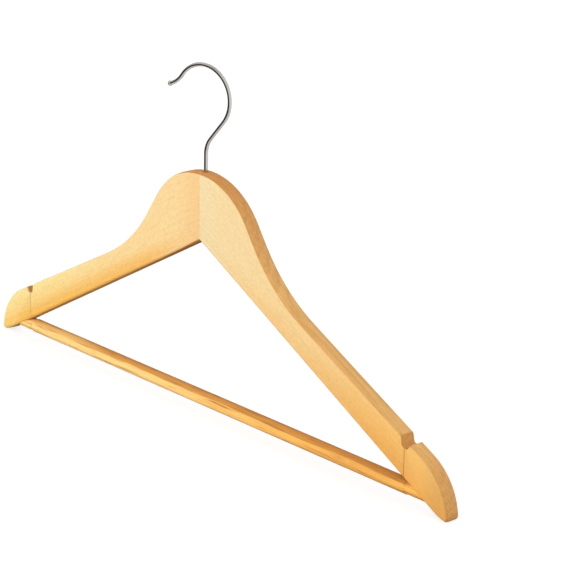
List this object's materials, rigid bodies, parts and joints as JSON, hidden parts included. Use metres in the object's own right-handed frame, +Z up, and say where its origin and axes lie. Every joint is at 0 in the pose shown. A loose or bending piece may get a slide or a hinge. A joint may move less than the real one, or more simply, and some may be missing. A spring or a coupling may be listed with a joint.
{
  "type": "clothes hanger",
  "caption": "Flat wooden clothes hanger with two comb-jointed arms, strap notches, a round trouser bar and a swivelling wire hook.",
  "frame": {"origin": "where a rail touches the inside of the hook's crook, on the axis of the shank", "axes": "+X along the hanger's width to its right end as seen from the front, -Y out of its front face, +Z up along the shank"},
  "size_m": [0.445, 0.0128, 0.2281],
  "materials": {
    "arm_wood": "clear satin lacquer over pale wood",
    "bar_wood": "clear gloss lacquer over golden wood",
    "hook_wire": "bright plated steel wire",
    "fixings": "plain steel"
  },
  "bodies": {
    "hook": {"hook": "hook_wire"},
    "wooden_frame": {"left_arm": "arm_wood", "right_arm": "arm_wood", "trouser_bar": "bar_wood", "hook_washer": "fixings", "left_bar_nail": "fixings", "right_bar_nail": "fixings"}
  },
  "joints": [
    {"name": "hook_swivel", "type": "hinge", "parent": "hook", "child": "wooden_frame", "pos_m": [0, 0, -0.0658], "axis": [0, 0, 1], "continuous": true}
  ]
}
